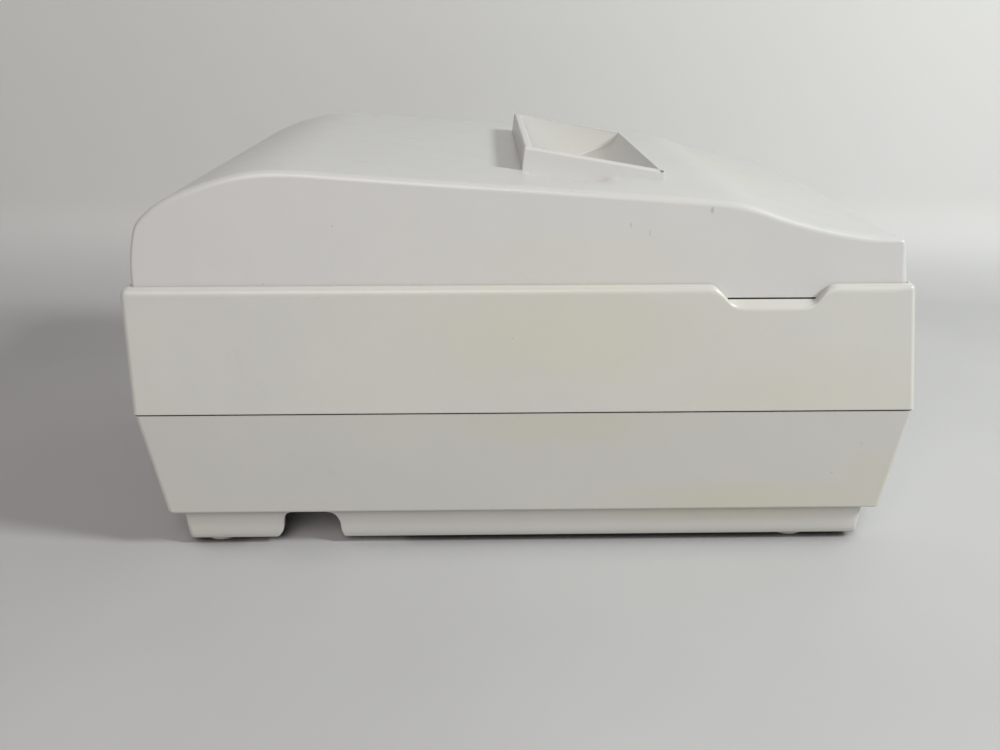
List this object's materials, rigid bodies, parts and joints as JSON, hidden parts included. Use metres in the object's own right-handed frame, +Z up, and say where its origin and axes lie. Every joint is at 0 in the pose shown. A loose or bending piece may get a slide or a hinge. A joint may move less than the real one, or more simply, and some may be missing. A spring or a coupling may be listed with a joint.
{
  "type": "flatbed scanner",
  "caption": "Tall beige flatbed scanner with a thick hinged lid, a raised document chute on the lid, a glass platen, a belt-driven scan carriage and a roller sheet feeder.",
  "frame": {"origin": "middle of the footprint, in the plane under the feet", "axes": "+X towards the front edge of the lid (the end that lifts), +Y across the machine, +Z up"},
  "size_m": [0.4355, 0.303, 0.2286],
  "materials": {
    "housing_upper": "satin moulded ABS, aged beige",
    "housing_base": "satin moulded ABS, aged beige, slightly darker",
    "lid": "satin moulded ABS, aged beige",
    "inner_plastic": "matte moulded liner",
    "glass": "clear float glass, polished",
    "white_pad": "soft matte white foam-backed sheet",
    "feet": "pale moulded rubber, slightly grubby",
    "steel": "ground and brushed steel",
    "polished_rod": "polished shaft",
    "zinc_sheet": "plated sheet metal",
    "motor_can": "drawn motor can",
    "black_plastic": "black glass-filled moulding",
    "black_gloss": "black gloss rocker and connector shell",
    "belt_rubber": "toothed neoprene belt",
    "roller_rubber": "ground rubber tyre",
    "nylon": "natural nylon, waxy",
    "brass": "turned brass",
    "board_green": "solder-masked circuit board",
    "board_brown": "phenolic power board",
    "cable_flat": "flat flexible cable",
    "lamp_glass": "frosted fluorescent tube",
    "mirror": "front-silvered mirror",
    "grey_plastic": "grey engineering plastic",
    "roller_grey": "smooth grey roller",
    "roller_white": "smooth white roller",
    "lens_green": "translucent status window"
  },
  "bodies": {
    "root": {"base_tray": "housing_base", "upper_frame": "housing_upper", "status_lens": "lens_green", "platen_glass": "glass", "feeder_glass": "glass", "calibration_strip": "white_pad", "foot_rear_near": "feet", "foot_rear_far": "feet", "foot_front_near": "feet", "foot_front_far": "feet", "case_screw_1": "steel", "case_screw_2": "steel", "case_screw_3": "steel", "case_screw_4": "steel", "main_board": "board_green", "power_board": "board_brown", "mains_inlet": "black_gloss", "data_port": "zinc_sheet", "chassis_plate": "zinc_sheet", "guide_rod": "polished_rod", "rod_clip_rear": "nylon", "rod_clip_front": "nylon", "slide_rail": "zinc_sheet", "stepper_motor": "motor_can", "motor_bracket": "zinc_sheet", "idler_bracket": "zinc_sheet", "drive_belt": "belt_rubber", "home_sensor": "black_plastic", "ribbon_cable": "cable_flat"},
    "hinge_posts": {"hinge_post_near": "inner_plastic", "hinge_post_far": "inner_plastic", "hinge_pin_near": "steel", "hinge_pin_far": "steel"},
    "lid": {"lid_shell": "lid", "lid_liner": "inner_plastic", "backing_pad": "white_pad", "feeder_frame": "grey_plastic", "feed_motor": "motor_can", "feeder_belt": "belt_rubber"},
    "feed_drive": {"feed_gear": "nylon", "feed_shaft": "polished_rod", "feed_roller": "roller_rubber"},
    "feed_pinion": {"feed_pinion": "brass"},
    "pinch_roller": {"pinch_roller": "roller_grey"},
    "scan_roller": {"scan_roller": "roller_white"},
    "carriage": {"carriage_frame": "black_plastic", "rod_bush": "brass", "glide_pad": "nylon", "belt_clamp": "nylon", "scan_lamp": "lamp_glass", "lamp_reflector": "mirror", "mirror_1": "mirror", "mirror_2": "mirror", "mirror_3": "mirror", "lens_barrel": "black_gloss", "sensor_board": "board_green"},
    "motor_pinion": {"motor_pinion": "brass"},
    "reduction_pulley": {"reduction_pulley": "nylon"},
    "idler_pulley": {"idler_pulley": "nylon"},
    "power_rocker": {"power_rocker": "black_gloss"}
  },
  "joints": [
    {"name": "hinge_lift", "type": "slide", "parent": "root", "child": "hinge_posts", "axis": [0, 0, 1], "range_m": [0, 0.016]},
    {"name": "lid_hinge", "type": "hinge", "parent": "hinge_posts", "child": "lid", "pos_m": [-0.2036, 0, 0.1696], "axis": [0, -1, 0], "range_deg": [0, 80]},
    {"name": "carriage_slide", "type": "slide", "parent": "root", "child": "carriage", "axis": [1, 0, 0], "range_m": [0, 0.311], "deforming": ["ribbon_cable"]},
    {"name": "reduction_spin", "type": "hinge", "parent": "root", "child": "reduction_pulley", "pos_m": [-0.176, -0.09, 0.098], "axis": [0, 0, 1], "range_deg": [-2974.83, 0]},
    {"name": "idler_spin", "type": "hinge", "parent": "root", "child": "idler_pulley", "pos_m": [0.186, -0.09, 0.098], "axis": [0, 0, 1], "range_deg": [-2974.83, 0]},
    {"name": "motor_pinion_spin", "type": "hinge", "parent": "root", "child": "motor_pinion", "pos_m": [-0.176, -0.06385, 0.093], "axis": [0, 0, 1], "range_deg": [0, 9904.44]},
    {"name": "power_rocker_tilt", "type": "hinge", "parent": "root", "child": "power_rocker", "pos_m": [-0.2066, 0.1, 0.06], "axis": [0, 1, 0], "range_deg": [-16, 0]},
    {"name": "feed_roller_spin", "type": "hinge", "parent": "lid", "child": "feed_drive", "pos_m": [-0.014, 0, 0.1815], "axis": [0, 1, 0], "continuous": true},
    {"name": "feed_pinion_spin", "type": "hinge", "parent": "lid", "child": "feed_pinion", "pos_m": [-0.03038, 0.0954, 0.17126], "axis": [0, 1, 0], "continuous": true},
    {"name": "pinch_roller_spin", "type": "hinge", "parent": "lid", "child": "pinch_roller", "pos_m": [-0.014, 0, 0.1979], "axis": [0, 1, 0], "continuous": true},
    {"name": "scan_roller_spin", "type": "hinge", "parent": "lid", "child": "scan_roller", "pos_m": [-0.157, 0, 0.1636], "axis": [0, 1, 0], "continuous": true}
  ],
  "couplings": [
    {"joint": "reduction_spin", "follows": "carriage_slide", "rad_per_m": -166.67},
    {"joint": "idler_spin", "follows": "carriage_slide", "rad_per_m": -166.67},
    {"joint": "motor_pinion_spin", "follows": "carriage_slide", "rad_per_m": 555.56},
    {"joint": "feed_pinion_spin", "follows": "feed_roller_spin", "ratio": -3},
    {"joint": "pinch_roller_spin", "follows": "feed_roller_spin", "ratio": -1.6667},
    {"joint": "scan_roller_spin", "follows": "feed_roller_spin", "ratio": 1.25}
  ]
}
